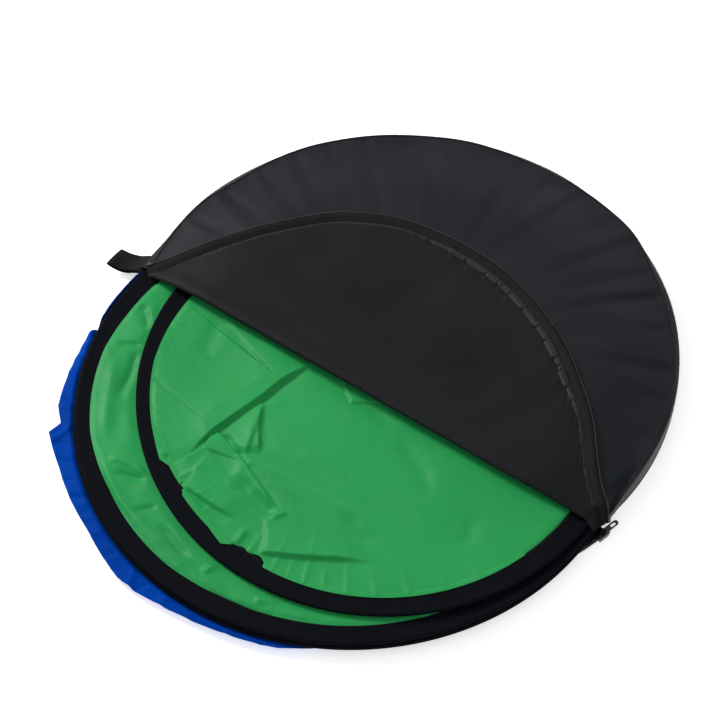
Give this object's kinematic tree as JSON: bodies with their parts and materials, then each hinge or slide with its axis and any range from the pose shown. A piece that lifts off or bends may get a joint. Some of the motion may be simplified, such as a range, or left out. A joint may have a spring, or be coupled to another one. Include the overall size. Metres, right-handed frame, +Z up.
{
  "type": "collapsible background disc in zip case",
  "caption": "Reversible green and blue pop-up background disc, coiled on its spring hoop and slid partly out of a round black zip case with its flap folded back.",
  "frame": {"origin": "centre of the underside of the case's round bottom panel", "axes": "+Z up, square to the bottom panel; X along the fold of the flap; the mouth of the case faces -Y"},
  "size_m": [0.6668, 0.7237, 0.0439],
  "materials": {
    "case_cloth": "satin",
    "lining_cloth": "matte",
    "trim": "matte",
    "webbing": "matte",
    "zip_coil": "satin",
    "thread": "matte",
    "slider_metal": "semi-gloss",
    "stop_metal": "satin",
    "spring_steel": "satin",
    "green_cloth": "satin",
    "blue_cloth": "satin"
  },
  "bodies": {
    "case": {"case_bottom_panel": "lining_cloth", "case_top_panel": "case_cloth", "case_side_wall": "case_cloth", "top_seam_piping": "trim", "bottom_seam_piping": "trim", "lower_zip_tape": "trim", "lower_zip_coil": "zip_coil", "lower_zip_stops": "stop_metal", "handle_anchor_patch": "webbing"},
    "flap": {"flap_panel": "lining_cloth", "flap_hem": "lining_cloth", "flap_zip_tape": "trim", "flap_zip_coil": "zip_coil", "flap_zip_stops": "stop_metal"},
    "slider": {"zip_slider_body": "slider_metal", "zip_slider_bridge": "slider_metal"},
    "pull_tab": {"zip_pull_tab": "slider_metal"},
    "handle": {"handle_webbing": "webbing", "handle_stitching": "thread"},
    "disc": {"spring_hoop": "spring_steel", "hoop_splice_sleeve": "stop_metal", "rim_sleeve": "trim", "rim_stitching": "thread", "green_panel": "green_cloth", "blue_panel": "blue_cloth"}
  },
  "joints": [
    {"name": "flap_fold", "type": "hinge", "parent": "case", "child": "flap", "pos_m": [0, -0.086, 0.036], "axis": [1, 0, 0], "range_deg": [0, 179.9]},
    {"name": "disc_slide", "type": "slide", "parent": "case", "child": "disc", "axis": [0, -1, 0], "range_m": [-0.098, 0.52]},
    {"name": "zip_travel", "type": "hinge", "parent": "case", "child": "slider", "pos_m": [0, 0, 0], "axis": [0, 0, 1], "range_deg": [-152.8, 0]},
    {"name": "pull_tab_swing", "type": "hinge", "parent": "slider", "child": "pull_tab", "pos_m": [0.30869, -0.07468, 0.007], "axis": [0.972, -0.2351, 0], "range_deg": [0, 110]},
    {"name": "handle_swing", "type": "hinge", "parent": "case", "child": "handle", "pos_m": [-0.3163, -0.068, 0.0138], "axis": [0, 1, 0], "range_deg": [0, 90]}
  ]
}
